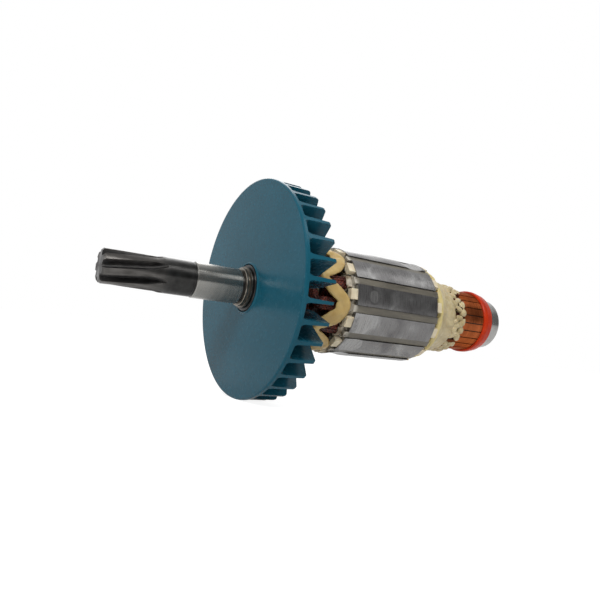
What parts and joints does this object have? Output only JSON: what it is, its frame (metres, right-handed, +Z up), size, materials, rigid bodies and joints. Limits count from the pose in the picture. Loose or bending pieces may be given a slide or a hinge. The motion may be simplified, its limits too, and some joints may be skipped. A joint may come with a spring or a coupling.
{
  "type": "motor armature",
  "caption": "Wound armature of a universal motor: shaft with helical pinion, cooling fan, slotted core with coils, commutator and rear ball bearing.",
  "frame": {"origin": "middle of the front bearing journal, on the shaft axis", "axes": "+X along the shaft from the pinion to the rear bearing, +Z up, +Y the remaining side"},
  "size_m": [0.2392, 0.108, 0.108],
  "materials": {
    "journal_steel": "ground steel journal, dark blued pinion",
    "fan_plastic": "semi-gloss teal moulded plastic",
    "dark_steel": "dark turned steel",
    "core_steel": "ground silicon-steel laminations",
    "cream_insulation": "cream moulded insulation",
    "liner_paper": "varnished slot paper",
    "wedge_fibre": "dark varnished fibre",
    "enamelled_copper": "varnished red-brown enamelled copper",
    "bonding_resin": "cream-yellow bonding resin",
    "commutator_copper": "turned copper",
    "phenolic": "dark brown phenolic moulding",
    "orange_plastic": "glossy orange-red plastic",
    "bearing_steel": "ground bearing steel",
    "ball_steel": "polished steel balls",
    "cage_brass": "pressed brass cage",
    "seal_rubber": "black rubber seals"
  },
  "bodies": {
    "rotor": {"shaft": "journal_steel", "fan": "fan_plastic", "fan_bush": "dark_steel", "shaft_sleeve": "cream_insulation", "core_laminations": "core_steel", "front_end_insulator": "cream_insulation", "rear_end_insulator": "cream_insulation", "slot_liners": "liner_paper", "slot_wedges": "wedge_fibre", "coil_01": "enamelled_copper", "coil_02": "enamelled_copper", "coil_03": "enamelled_copper", "coil_04": "enamelled_copper", "coil_05": "enamelled_copper", "coil_06": "enamelled_copper", "coil_07": "enamelled_copper", "coil_08": "enamelled_copper", "coil_09": "enamelled_copper", "coil_10": "enamelled_copper", "coil_11": "enamelled_copper", "coil_12": "enamelled_copper", "binding_bead": "bonding_resin", "lead_resin": "bonding_resin", "lead_wires": "enamelled_copper", "commutator_bars": "commutator_copper", "commutator_moulding": "phenolic", "insulation_washer": "orange_plastic", "bearing_inner_ring": "bearing_steel"},
    "bearing_outer": {"bearing_outer_ring": "bearing_steel", "bearing_seal_front": "seal_rubber", "bearing_seal_rear": "seal_rubber"},
    "bearing_cage_set": {"bearing_balls": "ball_steel", "bearing_cage": "cage_brass"}
  },
  "joints": [
    {"name": "rear_bearing_spin", "type": "hinge", "parent": "rotor", "child": "bearing_outer", "pos_m": [0.1799, 0, 0], "axis": [1, 0, 0], "continuous": true},
    {"name": "cage_spin", "type": "hinge", "parent": "rotor", "child": "bearing_cage_set", "pos_m": [0.1799, 0, 0], "axis": [1, 0, 0], "continuous": true}
  ],
  "couplings": [
    {"joint": "cage_spin", "follows": "rear_bearing_spin", "ratio": 0.619}
  ]
}
